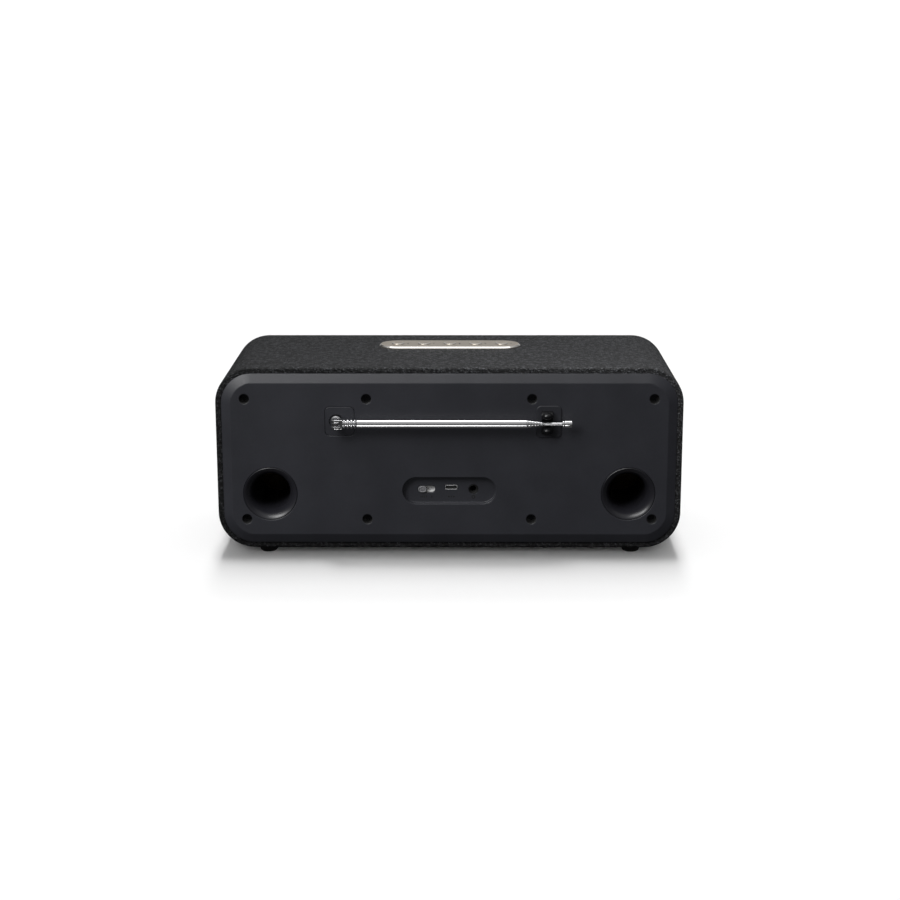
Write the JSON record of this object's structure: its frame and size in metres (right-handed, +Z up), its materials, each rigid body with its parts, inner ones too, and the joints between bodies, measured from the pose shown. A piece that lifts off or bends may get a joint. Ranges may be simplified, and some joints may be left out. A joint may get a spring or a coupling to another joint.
{
  "type": "mini hifi system",
  "caption": "Tabletop mini hi-fi in dark leatherette: rear telescopic aerial in its clip, flared reflex ports, socket recess, champagne button strip, slotted front.",
  "frame": {"origin": "centre of the overall footprint, on the surface that the feet stand on", "axes": "+X to the right seen from the front, the front faces -Y, the aerial and sockets are on the +Y side, +Z up"},
  "size_m": [0.3, 0.1454, 0.1284],
  "materials": {
    "leatherette": "pebbled, satin",
    "cabinet_wood": "raw board",
    "rear_plastic": "fine spark texture",
    "inner_plastic": "moulded",
    "port_plastic": "satin",
    "clip_plastic": "semi gloss",
    "foot_rubber": "matt",
    "screw_steel": "zinc",
    "black_steel": "black oxide",
    "aerial_chrome": "polished",
    "bright_steel": "tinned",
    "basket_steel": "satin black",
    "champagne_metal": "anodised champagne, fine blasted",
    "grille_plastic": "fine texture",
    "smoked_window": "polished, smoked",
    "display_glass": "dark display",
    "circuit_board": "solder mask",
    "jack_plastic": "moulded",
    "switch_can": "plated",
    "switch_plastic": "moulded grey",
    "ferrite": "ground ferrite",
    "surround_rubber": "satin",
    "spider_cloth": "resin dipped cloth",
    "cone_paper": "pressed black pulp",
    "coil_copper": "enamelled copper on former",
    "cell_sleeve": "shrink sleeve"
  },
  "bodies": {
    "cabinet": {"cabinet_sleeve": "cabinet_wood", "leatherette_wrap": "leatherette", "feet": "foot_rubber", "foot_screws": "screw_steel", "divider_walls": "cabinet_wood", "rear_panel": "rear_plastic", "rear_frame": "inner_plastic", "rear_screws": "black_steel", "reflex_port_left": "port_plastic", "reflex_port_right": "port_plastic", "io_board": "circuit_board", "usb_socket": "bright_steel", "audio_jack": "jack_plastic", "power_switch": "switch_can", "antenna_seat": "rear_plastic", "antenna_bush": "inner_plastic", "antenna_clip": "clip_plastic", "top_panel": "champagne_metal", "keypad_board": "circuit_board", "tact_switches": "jack_plastic", "front_baffle": "cabinet_wood", "front_grille": "grille_plastic", "front_trim_ring": "champagne_metal", "display_fascia": "champagne_metal", "display_window": "smoked_window", "display_module": "display_glass", "encoder_body": "bright_steel", "driver_screws": "screw_steel", "driver_baskets": "basket_steel", "driver_steel": "bright_steel", "driver_magnets": "ferrite", "driver_surrounds": "surround_rubber", "driver_spiders": "spider_cloth", "battery_tray": "inner_plastic", "battery_cells": "cell_sleeve", "main_board": "circuit_board", "board_parts": "bright_steel"},
    "button_1": {"button_1": "champagne_metal"},
    "button_2": {"button_2": "champagne_metal"},
    "button_3": {"button_3": "champagne_metal"},
    "button_4": {"button_4": "champagne_metal"},
    "button_5": {"button_5": "champagne_metal"},
    "power_switch_knob": {"power_switch_knob": "switch_plastic"},
    "antenna_swivel": {"antenna_base": "aerial_chrome"},
    "antenna_mast": {"antenna_elbow": "aerial_chrome", "antenna_pin": "aerial_chrome", "antenna_tube": "aerial_chrome"},
    "antenna_stage_1": {"antenna_stage_1": "aerial_chrome"},
    "antenna_stage_2": {"antenna_stage_2": "aerial_chrome"},
    "antenna_stage_3": {"antenna_stage_3": "aerial_chrome"},
    "antenna_stage_4": {"antenna_stage_4": "aerial_chrome"},
    "antenna_stage_5": {"antenna_stage_5": "aerial_chrome"},
    "antenna_tip": {"antenna_rod": "aerial_chrome", "antenna_cap": "aerial_chrome"},
    "volume_knob": {"volume_knob": "champagne_metal", "encoder_shaft": "bright_steel"},
    "cone_left": {"cone_left": "cone_paper", "voice_coil_left": "coil_copper"},
    "cone_right": {"cone_right": "cone_paper", "voice_coil_right": "coil_copper"}
  },
  "joints": [
    {"name": "button_1_press", "type": "slide", "parent": "cabinet", "child": "button_1", "axis": [0, 0, -1], "range_m": [0, 0.0006], "stiffness_N_per_m": 900},
    {"name": "button_2_press", "type": "slide", "parent": "cabinet", "child": "button_2", "axis": [0, 0, -1], "range_m": [0, 0.0006], "stiffness_N_per_m": 900},
    {"name": "button_3_press", "type": "slide", "parent": "cabinet", "child": "button_3", "axis": [0, 0, -1], "range_m": [0, 0.0006], "stiffness_N_per_m": 900},
    {"name": "button_4_press", "type": "slide", "parent": "cabinet", "child": "button_4", "axis": [0, 0, -1], "range_m": [0, 0.0006], "stiffness_N_per_m": 900},
    {"name": "button_5_press", "type": "slide", "parent": "cabinet", "child": "button_5", "axis": [0, 0, -1], "range_m": [0, 0.0006], "stiffness_N_per_m": 900},
    {"name": "power_slide", "type": "slide", "parent": "cabinet", "child": "power_switch_knob", "axis": [-1, 0, 0], "range_m": [0, 0.0052]},
    {"name": "antenna_turn", "type": "hinge", "parent": "cabinet", "child": "antenna_swivel", "pos_m": [0.0723, 0.0703, 0.09185], "axis": [0, 1, 0], "range_deg": [0, 180]},
    {"name": "antenna_tilt", "type": "hinge", "parent": "antenna_swivel", "child": "antenna_mast", "pos_m": [0.0723, 0.0703, 0.09185], "axis": [0, 0, -1], "range_deg": [0, 90]},
    {"name": "antenna_extend_1", "type": "slide", "parent": "antenna_mast", "child": "antenna_stage_1", "axis": [-1, 0, 0], "range_m": [0, 0.086]},
    {"name": "antenna_extend_2", "type": "slide", "parent": "antenna_stage_1", "child": "antenna_stage_2", "axis": [-1, 0, 0], "range_m": [0, 0.086]},
    {"name": "antenna_extend_3", "type": "slide", "parent": "antenna_stage_2", "child": "antenna_stage_3", "axis": [-1, 0, 0], "range_m": [0, 0.086]},
    {"name": "antenna_extend_4", "type": "slide", "parent": "antenna_stage_3", "child": "antenna_stage_4", "axis": [-1, 0, 0], "range_m": [0, 0.086]},
    {"name": "antenna_extend_5", "type": "slide", "parent": "antenna_stage_4", "child": "antenna_stage_5", "axis": [-1, 0, 0], "range_m": [0, 0.086]},
    {"name": "antenna_tip_extend", "type": "slide", "parent": "antenna_stage_5", "child": "antenna_tip", "axis": [-1, 0, 0], "range_m": [-0.0116, 0.08]},
    {"name": "volume_turn", "type": "hinge", "parent": "cabinet", "child": "volume_knob", "pos_m": [0, -0.06, 0.044], "axis": [0, -1, 0], "continuous": true},
    {"name": "cone_left_travel", "type": "slide", "parent": "cabinet", "child": "cone_left", "axis": [0, -1, 0], "range_m": [-0.0015, 0.0015], "stiffness_N_per_m": 900, "deforming": ["driver_surrounds", "driver_spiders"]},
    {"name": "cone_right_travel", "type": "slide", "parent": "cabinet", "child": "cone_right", "axis": [0, -1, 0], "range_m": [-0.0015, 0.0015], "stiffness_N_per_m": 900}
  ],
  "couplings": [
    {"joint": "antenna_extend_2", "follows": "antenna_extend_1", "ratio": 1},
    {"joint": "antenna_extend_3", "follows": "antenna_extend_1", "ratio": 1},
    {"joint": "antenna_extend_4", "follows": "antenna_extend_1", "ratio": 1},
    {"joint": "antenna_extend_5", "follows": "antenna_extend_1", "ratio": 1}
  ]
}
